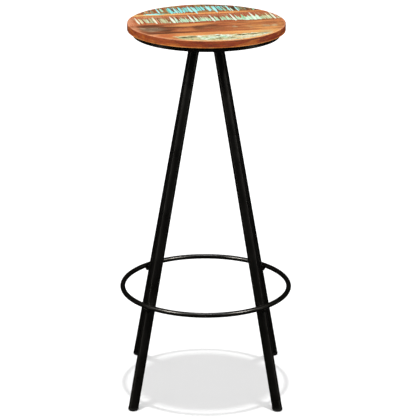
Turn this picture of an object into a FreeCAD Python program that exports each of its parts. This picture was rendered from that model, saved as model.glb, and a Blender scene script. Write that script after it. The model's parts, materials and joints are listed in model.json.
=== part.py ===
"""Bar stool: a round seat of reclaimed boards on a pressed steel pan, on a welded frame of four splayed tubes.

A ring outside the legs is the footrest. The frame is a top plate, four legs and the ring, welded together.
The seat is four boards, doweled edge to edge and screwed to the pan. Four bolts hold the seat on the frame.

Frame: millimetres, +Z up, origin on the floor at the centre of the four feet, front of the stool towards -Y.
Every part is one solid in one STEP file, apart from groups of identical fasteners, which share a file.
What is at one leg is modelled at the back right leg and turned in quarter turns to the other three.
"""
import FreeCAD, Part
import math
import os

OUT_FOLDER = "parts"
UP = FreeCAD.Vector(0, 0, 1)
ORIGIN = FreeCAD.Vector(0, 0, 0)

# Seat boards, sawn round. The joints are given by their distance from the centre, front to back.
TOTAL_HEIGHT = 761.0
SEAT_RADIUS = 155.0
SEAT_THICKNESS = 15.0
SEAT_TOP_EDGE_RADIUS = 2.5
SEAT_BOTTOM_EDGE_CHAMFER = 0.8
BOARD_ANGLE = 11.5                        # degrees, from +X to the boards' length
BOARD_JOINTS = (-83.0, -3.0, 66.0)
BOARD_NAMES = ("front", "middle_front", "middle_back", "back")
DOWEL_RADIUS = 4.0
DOWEL_LENGTH = 30.0
DOWEL_CLEARANCE = 0.03
DOWEL_PLACES = (-85.0, 0.0, 85.0)         # along each joint, from its middle

# Pan: pressed sheet disc with a turned-down rim, under the boards.
PAN_RADIUS = 144.0
PAN_SHEET = 2.0
PAN_RIM_DEPTH = 10.0
PAN_CORNER_RADIUS = 2.0
PAN_INNER_RADIUS = 1.0

# Frame: straight round tubes, welded under a round plate.
PLATE_RADIUS = 56.0
PLATE_THICKNESS = 5.0
PLATE_EDGE_CHAMFER = 0.6
LEG_RADIUS = 10.0
LEG_WALL = 1.5
LEG_FOOT_OFFSET = 144.5                   # tube axis from the centre planes, at the floor
LEG_TOP_OFFSET = 18.7                     # tube axis from the centre planes, at the plate
LEG_WELD_SIZE = 4.5
LEG_WELD_TOE = 0.4                        # how far the weld's lower edge stands off the tube

# Plastic foot cap: flat sole parallel to the floor, ribbed hollow plug inside the tube.
SOLE_HEIGHT = 6.0
SOLE_LIP = 0.25
SOLE_EDGE_RADIUS = 3.2
PLUG_CLEARANCE = 0.3
PLUG_LENGTH = 18.0
PLUG_WALL = 2.0
RIB_CLEARANCE = 0.03
RIB_WIDTH = 1.2
RIB_COUNT = 3
RIB_PITCH = 4.5

# Footrest: round bar bent to a ring outside the legs, welded to each leg.
RING_HEIGHT = 213.0
RING_BAR_RADIUS = 5.0
RING_LEG_GAP = 0.3
WELD_GAP = 0.02                           # between a weld and the metal it is laid on
# Runs of one footrest weld: radius, half length, distance along the leg from the contact, and off the leg.
RING_WELD_RUNS = ((4.5, 5.0, -6.2, 1.4), (2.0, 5.5, 0.0, 0.1), (3.0, 4.5, 5.2, 1.0))

# Fasteners. Threads are modelled at their outer diameter.
FRAME_BOLT_RADIUS = 2.95                  # M6 button head
FRAME_BOLT_LENGTH = 16.0
FRAME_BOLT_HEAD_RADIUS = 5.25
FRAME_BOLT_HEAD_HEIGHT = 3.3
FRAME_BOLT_KEY = 4.0                      # across flats
FRAME_BOLT_HOLE_RADIUS = 3.3
FRAME_BOLT_CIRCLE_RADIUS = 44.0
FRAME_BOLT_COUNT = 4
WASHER_RADIUS = 6.0
WASHER_THICKNESS = 1.6
INSERT_RADIUS = 5.0
INSERT_BORE_RADIUS = 3.0
INSERT_LENGTH = 10.0
INSERT_CLEARANCE = 0.05
SEAT_SCREW_RADIUS = 1.97
SEAT_SCREW_LENGTH = 13.0
SEAT_SCREW_TIP = 3.0
SEAT_SCREW_HEAD_RADIUS = 4.0
SEAT_SCREW_HEAD_HEIGHT = 2.6
SEAT_SCREW_KEY = 2.0
SEAT_SCREW_HOLE_RADIUS = 2.25
SEAT_SCREW_PILOT_RADIUS = 2.0
SEAT_SCREW_CIRCLE_RADIUS = 130.0
SEAT_SCREW_FIRST_ANGLE = 22.5
SEAT_SCREW_COUNT = 8
HEAD_ROUNDING = 0.6                       # of a screw head's height
SOCKET_DEPTH = 0.6                        # of a screw head's height
POINT_BLUNTNESS = 0.15                    # of a wood screw's radius

# Worked out from the driving dimensions.
SEAT_BOTTOM = TOTAL_HEIGHT - SEAT_THICKNESS
PAN_UNDERSIDE = SEAT_BOTTOM - PAN_SHEET
PAN_LOWEST = SEAT_BOTTOM - PAN_RIM_DEPTH
LEG_TOP = PAN_UNDERSIDE - PLATE_THICKNESS
BOLT_HEAD_TOP = LEG_TOP - WASHER_THICKNESS
LEG_BORE_RADIUS = LEG_RADIUS - LEG_WALL
LEG_FOOT = FreeCAD.Vector(LEG_FOOT_OFFSET, LEG_FOOT_OFFSET, 0)
LEG_HEAD = FreeCAD.Vector(LEG_TOP_OFFSET, LEG_TOP_OFFSET, LEG_TOP)
LEG_DIRECTION = (LEG_HEAD - LEG_FOOT).normalize()
LEG_TILT_COSINE = LEG_DIRECTION.z
OUTWARD = FreeCAD.Vector(1, 1, 0).normalize()
SIDEWAYS = UP.cross(OUTWARD)
LEG_NORMAL = LEG_DIRECTION.cross(SIDEWAYS) * -1          # square to the leg, outward and slightly up
LEG_TURNS = {"back_right": 0, "back_left": 90, "front_left": 180, "front_right": 270}


def leg_point(height):
    """Point on the leg's axis at a height."""
    return LEG_FOOT + (LEG_HEAD - LEG_FOOT) * (height / LEG_TOP)


RING_RADIUS = leg_point(RING_HEIGHT).dot(OUTWARD) + (LEG_RADIUS + RING_BAR_RADIUS + RING_LEG_GAP) / LEG_TILT_COSINE


def slab(bottom, top):
    """Everything between two heights, wider than the stool."""
    half = 2 * RING_RADIUS
    return Part.makeBox(2 * half, 2 * half, top - bottom, FreeCAD.Vector(-half, -half, bottom))


def leg_cylinder(radius, bottom, top):
    """Round bar along the leg's axis, cut level at both heights."""
    spare = 3 * LEG_RADIUS
    start = LEG_FOOT - LEG_DIRECTION * spare
    length = (LEG_HEAD - LEG_FOOT).Length + 2 * spare
    return Part.makeCylinder(radius, length, start, LEG_DIRECTION).common(slab(bottom, top))


def on_circle(radius, angle, height):
    """Point at a radius and an angle in degrees."""
    return FreeCAD.Vector(radius * math.cos(math.radians(angle)), radius * math.sin(math.radians(angle)), height)


def spread(radius, first_angle, count, height):
    """Points evenly round a circle."""
    return [on_circle(radius, first_angle + 360.0 * k / count, height) for k in range(count)]


def bolt_points(height):
    """The frame bolts' places, between the legs."""
    return spread(FRAME_BOLT_CIRCLE_RADIUS, 0.0, FRAME_BOLT_COUNT, height)


def seat_screw_points(height):
    """The seat screws' places, near the pan's rim."""
    return spread(SEAT_SCREW_CIRCLE_RADIUS, SEAT_SCREW_FIRST_ANGLE, SEAT_SCREW_COUNT, height)


def upright_bars(radius, length, points):
    """Round bars standing on the points, as one shape."""
    return Part.makeCompound([Part.makeCylinder(radius, length, p) for p in points])


def turned(shape, angle):
    """Copy turned about the stool's axis."""
    copy = shape.copy()
    copy.rotate(ORIGIN, UP, angle)
    return copy


def round_headed_screw(place, shank_radius, shank_length, head_radius, head_height, key, tip=0.0):
    """Screw pointing up, with the flat of its head at a point and a rounded head with a hexagonal socket below."""
    base = place - UP * head_height
    head = Part.makeCylinder(head_radius, head_height, base)
    lower_edge = [e for e in head.Edges if e.Closed and e.CenterOfMass.z < place.z - head_height / 2]
    head = head.makeFillet(head_height * HEAD_ROUNDING, lower_edge)
    corners = spread(key / math.sqrt(3), 0.0, 6, 0.0)
    socket = Part.Face(Part.makePolygon(corners + corners[:1])).extrude(UP * (head_height * SOCKET_DEPTH))
    socket.translate(base)
    screw = head.cut(socket).fuse(Part.makeCylinder(shank_radius, shank_length - tip, place))
    if tip:
        tip_start = place + UP * (shank_length - tip)
        screw = screw.fuse(Part.makeCone(shank_radius, shank_radius * POINT_BLUNTNESS, tip, tip_start))
    return screw.removeSplitter()


def dowels(radius, spare):
    """Dowels across the board joints, at half thickness, longer by a spare at both ends."""
    middle = SEAT_BOTTOM + SEAT_THICKNESS / 2
    half = DOWEL_LENGTH / 2 + spare
    across = FreeCAD.Vector(0, 1, 0)
    bars = [Part.makeCylinder(radius, 2 * half, FreeCAD.Vector(place, joint - half, middle), across)
            for joint in BOARD_JOINTS for place in DOWEL_PLACES]
    return turned(Part.makeCompound(bars), BOARD_ANGLE)


def seat_boards():
    """The round top, sawn from parallel boards, drilled for dowels, inserts and seat screws."""
    disc = Part.makeCylinder(SEAT_RADIUS, SEAT_THICKNESS, UP * SEAT_BOTTOM)
    middle = SEAT_BOTTOM + SEAT_THICKNESS / 2
    disc = disc.makeFillet(SEAT_TOP_EDGE_RADIUS, [e for e in disc.Edges if e.Closed and e.CenterOfMass.z > middle])
    disc = disc.makeChamfer(SEAT_BOTTOM_EDGE_CHAMFER, [e for e in disc.Edges if e.Closed and e.CenterOfMass.z < middle])
    disc = disc.cut(upright_bars(INSERT_RADIUS + INSERT_CLEARANCE, INSERT_LENGTH, bolt_points(SEAT_BOTTOM)))
    screw_depth = SEAT_SCREW_LENGTH - PAN_SHEET
    disc = disc.cut(upright_bars(SEAT_SCREW_PILOT_RADIUS, screw_depth, seat_screw_points(SEAT_BOTTOM)))
    disc = disc.cut(dowels(DOWEL_RADIUS + DOWEL_CLEARANCE, DOWEL_CLEARANCE))
    limits = (-2 * SEAT_RADIUS, *BOARD_JOINTS, 2 * SEAT_RADIUS)
    boards = {}
    for name, low, high in zip(BOARD_NAMES, limits, limits[1:]):
        strip = Part.makeBox(4 * SEAT_RADIUS, high - low, 2 * SEAT_THICKNESS,
                             FreeCAD.Vector(-2 * SEAT_RADIUS, low, middle - SEAT_THICKNESS))
        boards["seat_board_" + name] = disc.common(turned(strip, BOARD_ANGLE))
    return boards


def seat_pan():
    """Pressed disc with a turned-down rim, drilled for the frame bolts and the seat screws."""
    def point(radius, height):
        return FreeCAD.Vector(radius, 0, height)

    def quarter_round(radius, height, size):
        """From straight above to straight outside of a centre in the section."""
        diagonal = size / math.sqrt(2)
        return Part.Arc(point(radius, height + size), point(radius + diagonal, height + diagonal),
                        point(radius + size, height)).toShape()

    corner = PAN_RADIUS - PAN_CORNER_RADIUS
    inner_wall = PAN_RADIUS - PAN_SHEET
    inner_corner = inner_wall - PAN_INNER_RADIUS
    corner_height = SEAT_BOTTOM - PAN_CORNER_RADIUS
    inner_corner_height = PAN_UNDERSIDE - PAN_INNER_RADIUS
    outline = Part.Wire([
        Part.makeLine(point(0, PAN_UNDERSIDE), point(0, SEAT_BOTTOM)),
        Part.makeLine(point(0, SEAT_BOTTOM), point(corner, SEAT_BOTTOM)),
        quarter_round(corner, corner_height, PAN_CORNER_RADIUS),
        Part.makeLine(point(PAN_RADIUS, corner_height), point(PAN_RADIUS, PAN_LOWEST)),
        Part.makeLine(point(PAN_RADIUS, PAN_LOWEST), point(inner_wall, PAN_LOWEST)),
        Part.makeLine(point(inner_wall, PAN_LOWEST), point(inner_wall, inner_corner_height)),
        quarter_round(inner_corner, inner_corner_height, PAN_INNER_RADIUS),
        Part.makeLine(point(inner_corner, PAN_UNDERSIDE), point(0, PAN_UNDERSIDE)),
    ])
    pan = Part.Face(outline).revolve(ORIGIN, UP, 360)
    pan = pan.cut(upright_bars(FRAME_BOLT_HOLE_RADIUS, PAN_SHEET, bolt_points(PAN_UNDERSIDE)))
    return pan.cut(upright_bars(SEAT_SCREW_HOLE_RADIUS, PAN_SHEET, seat_screw_points(PAN_UNDERSIDE)))


def frame_top_plate():
    """Round plate that the legs are welded under, drilled for the frame bolts."""
    plate = Part.makeCylinder(PLATE_RADIUS, PLATE_THICKNESS, UP * LEG_TOP)
    plate = plate.makeChamfer(PLATE_EDGE_CHAMFER, [e for e in plate.Edges if e.Closed])
    return plate.cut(upright_bars(FRAME_BOLT_HOLE_RADIUS, PLATE_THICKNESS, bolt_points(LEG_TOP)))


def leg():
    """Tube from the foot cap's sole to the top plate."""
    return leg_cylinder(LEG_RADIUS, SOLE_HEIGHT, LEG_TOP).cut(leg_cylinder(LEG_BORE_RADIUS, SOLE_HEIGHT, LEG_TOP))


def leg_section(height, growth):
    """The leg's level section, grown all round."""
    oval = Part.Ellipse(ORIGIN, LEG_RADIUS / LEG_TILT_COSINE + growth, LEG_RADIUS + growth).toShape()
    oval.rotate(ORIGIN, UP, 45)
    oval.translate(leg_point(height))
    return Part.Wire([oval])


def leg_weld():
    """Fillet weld round the top of the leg."""
    lower = leg_section(LEG_TOP - LEG_WELD_SIZE, LEG_WELD_TOE)
    upper = leg_section(LEG_TOP, LEG_WELD_SIZE)
    fillet = Part.makeLoft([lower, upper], True, True)
    return fillet.cut(leg_cylinder(LEG_RADIUS + WELD_GAP, LEG_TOP - 2 * LEG_WELD_SIZE, LEG_TOP + LEG_WELD_SIZE))


def foot_cap():
    """Sole flush with the tube, with a rounded lower edge, and a hollow ribbed plug along the tube."""
    sole = leg_cylinder(LEG_RADIUS + SOLE_LIP, 0, SOLE_HEIGHT)
    lower_edge = [e for e in sole.Edges if e.Closed and e.CenterOfMass.z < SOLE_HEIGHT / 2]
    sole = sole.makeFillet(SOLE_EDGE_RADIUS, lower_edge)
    plug_radius = LEG_BORE_RADIUS - PLUG_CLEARANCE
    plug_base = leg_point(SOLE_HEIGHT)
    plug = Part.makeCylinder(plug_radius, LEG_RADIUS + PLUG_LENGTH, plug_base - LEG_DIRECTION * LEG_RADIUS,
                             LEG_DIRECTION)
    plug = plug.common(slab(SOLE_HEIGHT / 2, 2 * PLUG_LENGTH))
    for k in range(RIB_COUNT):
        place = plug_base + LEG_DIRECTION * (PLUG_LENGTH - RIB_WIDTH - RIB_PITCH * k)
        plug = plug.fuse(Part.makeCylinder(LEG_BORE_RADIUS - RIB_CLEARANCE, RIB_WIDTH, place, LEG_DIRECTION))
    hollow = Part.makeCylinder(plug_radius - PLUG_WALL, PLUG_LENGTH, plug_base + LEG_DIRECTION * PLUG_WALL,
                               LEG_DIRECTION)
    return sole.fuse(plug).cut(hollow).removeSplitter()


def footrest_ring():
    """Round bar bent to a closed ring."""
    return Part.makeTorus(RING_RADIUS, RING_BAR_RADIUS, UP * RING_HEIGHT)


def footrest_weld():
    """Weld between leg and ring: a heavy run below, a light one above, and the gap between filled."""
    contact = OUTWARD * RING_RADIUS + UP * RING_HEIGHT - LEG_NORMAL * RING_BAR_RADIUS
    runs = []
    for radius, half_length, along, off in RING_WELD_RUNS:
        middle = contact + LEG_DIRECTION * along + LEG_NORMAL * off
        start = middle - SIDEWAYS * half_length
        runs.append(Part.makeCylinder(radius, 2 * half_length, start, SIDEWAYS))
        runs += [Part.makeSphere(radius, start), Part.makeSphere(radius, middle + SIDEWAYS * half_length)]
    weld = runs[0].multiFuse(runs[1:])
    spare = 3 * LEG_RADIUS
    weld = weld.cut(leg_cylinder(LEG_RADIUS + WELD_GAP, RING_HEIGHT - spare, RING_HEIGHT + spare))
    weld = weld.cut(Part.makeTorus(RING_RADIUS, RING_BAR_RADIUS + WELD_GAP, UP * RING_HEIGHT))
    return max(weld.Solids, key=lambda solid: solid.Volume)


def frame_bolts():
    """Bolts from below, through washer, plate and pan, into the inserts."""
    return [round_headed_screw(p, FRAME_BOLT_RADIUS, FRAME_BOLT_LENGTH, FRAME_BOLT_HEAD_RADIUS,
                               FRAME_BOLT_HEAD_HEIGHT, FRAME_BOLT_KEY) for p in bolt_points(BOLT_HEAD_TOP)]


def tubes(outer_radius, inner_radius, length, points):
    """Short tubes standing on the points."""
    return [Part.makeCylinder(outer_radius, length, p).cut(Part.makeCylinder(inner_radius, length, p))
            for p in points]


def seat_screws():
    """Wood screws from below, through the pan, into the boards."""
    return [round_headed_screw(p, SEAT_SCREW_RADIUS, SEAT_SCREW_LENGTH, SEAT_SCREW_HEAD_RADIUS,
                               SEAT_SCREW_HEAD_HEIGHT, SEAT_SCREW_KEY, SEAT_SCREW_TIP)
            for p in seat_screw_points(PAN_UNDERSIDE)]


def stool_parts():
    """Every part of the stool by name."""
    parts = seat_boards()
    parts["seat_dowels"] = dowels(DOWEL_RADIUS, 0.0)
    parts["seat_pan"] = seat_pan()
    parts["seat_screws"] = Part.makeCompound(seat_screws())
    parts["frame_top_plate"] = frame_top_plate()
    at_each_leg = {"leg": leg(), "leg_weld": leg_weld(), "foot_cap": foot_cap(), "footrest_weld": footrest_weld()}
    for name, shape in at_each_leg.items():
        for corner, angle in LEG_TURNS.items():
            parts[name + "_" + corner] = turned(shape, angle)
    parts["footrest_ring"] = footrest_ring()
    parts["frame_bolts"] = Part.makeCompound(frame_bolts())
    parts["frame_bolt_washers"] = Part.makeCompound(
        tubes(WASHER_RADIUS, FRAME_BOLT_HOLE_RADIUS, WASHER_THICKNESS, bolt_points(BOLT_HEAD_TOP)))
    parts["threaded_inserts"] = Part.makeCompound(
        tubes(INSERT_RADIUS, INSERT_BORE_RADIUS, INSERT_LENGTH, bolt_points(SEAT_BOTTOM)))
    return parts


def main():
    """Writes one STEP file for each part."""
    os.makedirs(OUT_FOLDER, exist_ok=True)
    for name, shape in stool_parts().items():
        if not shape.isValid() or not shape.Solids:
            raise ValueError(name + " is not a valid solid")
        print(name, len(shape.Solids), "solids,", round(shape.Volume), "mm3")
        shape.exportStep(os.path.join(OUT_FOLDER, name + ".step"))


main()
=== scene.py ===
"""The looks of the bar stool: worn painted boards, black steel, rippled welds, floor, light and camera."""
import json
import math

import bmesh
import bpy
import numpy as np
from mathutils import Matrix, Vector


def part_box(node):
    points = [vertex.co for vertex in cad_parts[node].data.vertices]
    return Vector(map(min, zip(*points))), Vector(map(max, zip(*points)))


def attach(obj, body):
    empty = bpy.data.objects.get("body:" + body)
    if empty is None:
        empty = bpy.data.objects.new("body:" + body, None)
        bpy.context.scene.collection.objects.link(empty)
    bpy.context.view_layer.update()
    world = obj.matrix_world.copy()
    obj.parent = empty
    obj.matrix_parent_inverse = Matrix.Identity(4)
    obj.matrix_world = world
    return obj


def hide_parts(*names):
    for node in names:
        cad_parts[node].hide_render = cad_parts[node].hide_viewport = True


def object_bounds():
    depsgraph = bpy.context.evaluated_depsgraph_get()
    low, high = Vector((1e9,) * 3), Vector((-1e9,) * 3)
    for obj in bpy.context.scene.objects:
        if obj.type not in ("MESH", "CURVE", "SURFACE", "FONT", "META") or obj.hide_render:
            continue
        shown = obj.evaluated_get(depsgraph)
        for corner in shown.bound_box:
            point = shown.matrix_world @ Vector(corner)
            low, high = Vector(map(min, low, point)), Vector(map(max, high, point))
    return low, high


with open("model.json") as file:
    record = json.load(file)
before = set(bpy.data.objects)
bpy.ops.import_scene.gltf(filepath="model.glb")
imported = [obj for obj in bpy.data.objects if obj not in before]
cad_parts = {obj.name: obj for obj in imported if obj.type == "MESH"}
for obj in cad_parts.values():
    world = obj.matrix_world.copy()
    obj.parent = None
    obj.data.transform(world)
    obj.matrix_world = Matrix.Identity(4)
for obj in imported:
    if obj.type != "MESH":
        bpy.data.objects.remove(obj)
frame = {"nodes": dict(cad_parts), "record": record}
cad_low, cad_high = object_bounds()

MM = 0.001
NODES = frame["nodes"]
CORNERS = ("back_right", "back_left", "front_left", "front_right")
BOARDS = ("front", "middle_front", "middle_back", "back")

# Seat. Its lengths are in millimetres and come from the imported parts.
BOARD_ANGLE = math.radians(11.5)        # from +X to the boards' length
ALONG = Vector((math.cos(BOARD_ANGLE), math.sin(BOARD_ANGLE), 0))
ACROSS = Vector((-math.sin(BOARD_ANGLE), math.cos(BOARD_ANGLE), 0))
SEAT_RADIUS = max(v.co.xy.length for v in NODES["seat_board_middle_front"].data.vertices) / MM
SEAT_TOP = cad_high.z / MM
SEAT_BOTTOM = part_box("seat_board_front")[0].z / MM
PAN_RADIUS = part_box("seat_pan")[1].x / MM

# Light.
AMBIENT = 0.97
AMBIENT_IN_GLOSS = 0.014
SUN_POWER = 1.5
SUN_SPREAD = math.radians(3.2)
WARM_WHITE = (1.0, 0.95, 0.86)
LIGHT_LEVEL = AMBIENT + SUN_POWER / math.pi     # how much brighter a level surface looks than its colour

# Finishes.
GRAIN_LOSS = 1.15                       # the grain and pores darken a colour by this much on average
SHEEN = 0.010                           # light that the satin finish adds to every colour
COAT_COLOUR = (0.0018, 0.0015, 0.0006, 1)
PLASTIC_COLOUR = (0.004, 0.004, 0.0035, 1)
ZINC_COLOUR = (0.66, 0.67, 0.68, 1)
INSERT_COLOUR = (0.62, 0.58, 0.48, 1)


# ---------------------------------------------------------------- noise

def lattice_noise(x, y, seed):
    """Smooth noise from -1 to 1 that changes over one unit of x or y."""
    size = 128
    table = np.random.default_rng(seed).uniform(-1, 1, (size, size))
    column, row = np.floor(x).astype(int), np.floor(y).astype(int)
    fx, fy = x - column, y - row
    fx, fy = fx * fx * (3 - 2 * fx), fy * fy * (3 - 2 * fy)
    left, right = column % size, (column + 1) % size
    low, high = row % size, (row + 1) % size
    lower = table[left, low] * (1 - fx) + table[right, low] * fx
    upper = table[left, high] * (1 - fx) + table[right, high] * fx
    return lower * (1 - fy) + upper * fy


def rough_noise(x, y, seed, octaves=3):
    """Noise with finer and fainter noise added."""
    total = np.zeros_like(x)
    for octave in range(octaves):
        total += lattice_noise(x * 2 ** octave, y * 2 ** octave, seed + octave) * 0.55 ** octave
    return total


def step(low, high, value):
    """0 below low, 1 above high, smooth between. Falls instead when high is below low."""
    t = np.clip((value - low) / (high - low), 0, 1)
    return t * t * (3 - 2 * t)


def between(value, start, full, fading, end):
    """1 from full to fading, falling to 0 at start and at end."""
    return step(start, full, value) * step(end, fading, value)


def bump_at(u, n, place, size):
    """1 at a place, falling to 0 over an oval's half sizes."""
    return step(1.0, 0.25, np.hypot((u - place[0]) / size[0], (n - place[1]) / size[1]))


# ---------------------------------------------------------------- colours over the boards

# Places on the seat are in millimetres from its centre: u along the boards, n across them to the back.
# Colours as they look on the level top of the seat, from 0 to 255.
SHADES = {
    "pitch": (70, 52, 34), "umber": (98, 60, 40), "brown": (126, 74, 48), "chestnut": (150, 86, 54),
    "russet": (176, 76, 42), "sienna": (186, 104, 62), "orange": (222, 138, 82), "amber": (248, 172, 98),
    "straw": (252, 204, 126), "peach": (238, 166, 124), "cream": (252, 234, 186),
    "rim": (174, 79, 6), "rim_dark": (136, 51, 2),
    "slate": (96, 92, 84), "grey": (148, 124, 100), "ash": (196, 168, 136),
    "dark_green": (72, 82, 54), "sage": (146, 150, 108), "olive": (176, 146, 90),
    "pale_olive": (208, 202, 150), "green_mint": (166, 222, 170), "mint": (192, 238, 200),
    "pale_mint": (224, 252, 226), "white_mint": (248, 255, 238), "white_cream": (255, 252, 224),
    "teal": (116, 206, 188), "cyan": (142, 242, 238), "pale_cyan": (186, 255, 250),
}


def blend(colour, shade, amount):
    """One colour laid over another, by an amount from 0 to 1 at each point."""
    amount = np.clip(amount, 0, 1)[..., None]
    return colour * (1 - amount) + np.array(SHADES[shade], float) * amount


def plain(u, shade):
    """One colour everywhere."""
    return np.zeros(u.shape + (3,)) + np.array(SHADES[shade], float)


def smears(colour, u, n, seed, marks):
    """Soft patches of colour, whose edges wander along the grain."""
    wander_u = u + 6 * rough_noise(u / 30, n / 8, seed)
    wander_n = n + 2.2 * rough_noise(u / 40, n / 6, seed + 5)
    for place_u, place_n, half_u, half_n, shade, amount in marks:
        away = np.hypot((wander_u - place_u) / half_u, (wander_n - place_n) / half_n)
        colour = blend(colour, shade, amount * step(1.3, 0.35, away))
    return colour


STROKE_LEAN = 0.02                      # how far a stroke moves along the board for each unit across it


def saw_cut(u, n, place, foot, head, width):
    """How strongly a stroke across the boards covers each point. It is pointed at both ends."""
    rise = np.clip((n - foot) / (head - foot), 0, 1)
    edge = 0.5 * width * np.sin(math.pi * rise ** 0.65) ** 0.7 + 0.01
    ragged = 0.35 * lattice_noise(u / 2.0 + place, n / 9, 7)
    away = np.abs(u - place + STROKE_LEAN * (n - foot))
    return step(edge * (1.25 + ragged), edge * 0.45, away) * (rise > 0) * (rise < 1)


def saw_cuts(u, n, paint, coat, marks):
    """Paint left in strokes, each with its place along the board, foot, head, width and colour."""
    for place, foot, head, width, shade in marks:
        amount = saw_cut(u, n, place, foot, head, width)
        paint = np.maximum(paint, amount)
        coat = blend(coat, shade, amount)
    return paint, coat


def bare_cuts(u, n, paint, wood, marks):
    """Strokes where the saw took the paint off and left dark wood."""
    for place, foot, head, width, shade in marks:
        amount = saw_cut(u, n, place, foot, head, width)
        paint = paint * (1 - 0.95 * amount)
        wood = blend(wood, shade, 0.9 * amount)
    return paint, wood


def fibres(u, n, seed, width=2.2, length=30.0):
    """Noise of narrow strokes across the boards, each about this wide and long."""
    return rough_noise(u / width, n / length, seed)


def teeth(u, n, spacing, seed):
    """Even strokes across the boards, -1 to 1, as a saw's teeth leave them."""
    return np.sin(math.tau / spacing * (u + STROKE_LEAN * n + 1.2 * lattice_noise(u / 9, n / 60, seed)))


def streaks(u, n, seed, width=3.0, length=60.0):
    """Noise of streaks along the boards, each about this wide and long."""
    return rough_noise(u / length, n / width, seed)


# Patches of colour: place (u, n), half sizes, shade and amount.
MIDDLE_BACK_WOOD = (
    (-100, 60, 64, 9, "orange", 0.8), (10, 58, 60, 9, "sienna", 0.6), (84, 54, 26, 15, "russet", 0.65),
    (-150, 22, 16, 44, "peach", 0.8), (-112, 4, 30, 7, "orange", 0.5), (-20, 1, 60, 6, "russet", 0.6),
    (90, 0, 50, 6, "chestnut", 0.6), (-78, 26, 11, 24, "olive", 0.85), (122, 22, 13, 32, "olive", 0.8),
    (0, 46, 54, 6, "chestnut", 0.5), (150, 30, 10, 40, "orange", 0.7),
)
BACK_WOOD = (
    (-112, 104, 26, 20, "orange", 0.9), (0, 120, 90, 22, "chestnut", 0.6), (-50, 142, 26, 12, "olive", 0.8),
    (-40, 140, 5, 14, "amber", 0.8), (-14, 146, 14, 10, "sienna", 0.7), (16, 142, 14, 14, "olive", 0.8),
    (36, 144, 12, 12, "umber", 0.8), (56, 138, 12, 10, "grey", 0.7), (96, 110, 34, 22, "brown", 0.8),
    (66, 131, 8, 8, "dark_green", 0.8), (104, 98, 14, 12, "umber", 0.8),
    (77, 106, 5, 12, "dark_green", 0.7), (118, 90, 8, 8, "umber", 0.8), (18, 90, 17, 7, "olive", 0.8),
    (-10, 88, 7, 8, "brown", 0.7), (-62, 106, 5, 16, "olive", 0.8), (-68, 88, 20, 8, "sage", 0.9),
    (60, 92, 20, 7, "olive", 0.6),
)
MIDDLE_FRONT_WOOD = (
    (84, -8, 100, 9, "orange", 0.45), (60, -6, 100, 6, "russet", 0.3), (-42, -18, 34, 11, "amber", 0.9),
    (-8, -15, 22, 11, "amber", 0.75), (-84, -18, 20, 7, "orange", 0.5), (-116, -17, 26, 12, "brown", 0.95),
    (-84, -32, 32, 8, "brown", 0.9), (-46, -37, 28, 7, "brown", 0.75), (-12, -35, 26, 9, "brown", 0.8),
    (4, -32, 15, 7, "umber", 0.8), (30, -36, 20, 8, "chestnut", 0.8), (-104, -72, 34, 12, "brown", 0.85),
    (-88, -52, 16, 12, "brown", 0.7), (-114, -44, 27, 21, "grey", 0.95), (-131, -34, 7, 13, "ash", 0.7),
    (-122, -60, 9, 9, "ash", 0.5), (-94, -63, 14, 11, "umber", 0.7), (-82, -79, 26, 6, "umber", 0.7),
    (-46, -56, 16, 15, "orange", 0.7), (-64, -54, 4, 12, "peach", 0.55), (-24, -46, 13, 18, "brown", 0.85),
    (-8, -62, 12, 9, "russet", 0.8), (6, -46, 17, 13, "chestnut", 0.9), (8, -64, 14, 8, "chestnut", 0.6),
    (0, -76, 24, 5, "peach", 0.35), (38, -71, 24, 8, "orange", 0.5), (46, -48, 7, 8, "ash", 0.7),
    (32, -46, 9, 7, "peach", 0.5), (66, -19, 36, 10, "orange", 0.8), (100, -12, 44, 9, "orange", 0.7),
    (122, -22, 17, 7, "chestnut", 0.8), (92, -56, 36, 24, "amber", 0.8), (75, -60, 4, 14, "cream", 0.5),
    (93, -62, 4, 12, "straw", 0.5), (108, -52, 10, 15, "ash", 0.6), (125, -50, 8, 13, "cream", 0.75),
    # The peach patch at (-146, -36) is a painted highlight along the rounded left edge, partly pale worn
    # wood.
    (102, -73, 32, 8, "amber", 0.7), (138, -50, 8, 26, "amber", 0.6), (-146, -36, 9, 30, "peach", 0.8),
    (20, -82, 44, 2.6, "amber", 0.4), (108, -82, 34, 3.0, "straw", 0.8),
    (-48, -80, 18, 3.5, "chestnut", 0.5), (-70, -8, 50, 5, "sienna", 0.5),
)
MIDDLE_FRONT_TINTS = (
    (66, -64, 56, 13, "orange", 0.5), (112, -66, 34, 12, "amber", 0.7), (92, -16, 26, 8, "amber", 0.5),
    (-54, -27, 30, 6, "amber", 0.45), (-66, -80, 64, 5, "brown", 0.65), (-66, -68, 56, 4.5, "orange", 0.35),
    (64, -80, 50, 4, "sienna", 0.45), (84, -68, 50, 4.5, "amber", 0.35), (6, -78, 40, 5, "russet", 0.35),
    (-52, -9, 20, 6, "orange", 0.5), (-104, -68, 18, 6, "sienna", 0.5), (-18, -55, 22, 12, "brown", 0.3),
    (20, -34, 30, 16, "russet", 0.2),
)
FRONT_WOOD = (
    # The peach patch at (-122, -90) is a painted highlight along the rounded front edge, partly pale worn
    # wood.
    (-98, -98, 26, 16, "russet", 0.75), (-122, -90, 12, 9, "peach", 0.8),
    (-72, -122, 22, 18, "sienna", 0.7), (70, -90, 40, 7, "straw", 0.4),
    (100, -94, 20, 9, "pale_olive", 0.6), (-40, -90, 80, 8, "orange", 0.6),
    (54, -101, 60, 4.0, "amber", 0.5), (-34, -99, 70, 5.0, "orange", 0.3),
)
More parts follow.
